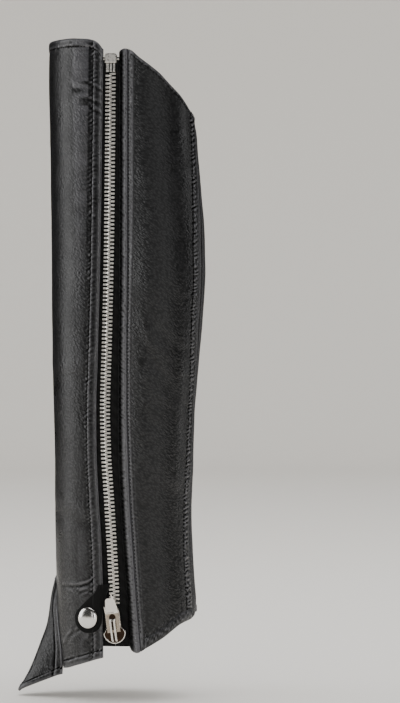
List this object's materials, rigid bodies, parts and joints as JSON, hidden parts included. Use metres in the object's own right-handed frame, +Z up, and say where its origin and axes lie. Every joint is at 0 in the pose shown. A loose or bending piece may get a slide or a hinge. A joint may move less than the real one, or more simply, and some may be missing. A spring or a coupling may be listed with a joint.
{
  "type": "half chap",
  "caption": "Black leather half chap for the left leg, with a pointed toe piece, a ribbed stretch gusset at the calf and a metal zip down the outer side.",
  "frame": {"origin": "middle of the hollow tube at the widest part of the calf, where the leg holds it", "axes": "+Z up along the shin, -X to the front of the shin and the toe, -Y to the outer side with the zip"},
  "size_m": [0.1406, 0.1073, 0.4853],
  "materials": {
    "leather": "satin black grained leather",
    "stretch_leather": "soft black stretch leather, ribbed",
    "textile": "matte black woven tape",
    "nickel": "polished nickel"
  },
  "bodies": {
    "chap": {"front_panel": "leather", "medial_panel": "leather", "lateral_panel": "leather", "lateral_zip_strip": "leather", "lateral_hem_band": "leather", "toe_piece": "leather", "calf_gusset": "stretch_leather", "snap_strap": "textile", "zip_tape_front": "textile", "zip_tape_rear": "textile", "zip_chain": "nickel", "zip_box": "nickel", "zip_pins": "nickel", "slider_body": "nickel", "snap_cap": "nickel"},
    "pull_tab": {"pull_tab": "nickel"}
  },
  "joints": [
    {"name": "tab_fold", "type": "hinge", "parent": "chap", "child": "pull_tab", "pos_m": [-0.00894, -0.04784, -0.27937], "axis": [0.9834, -0.135, 0.1214], "range_deg": [0, 165]}
  ]
}
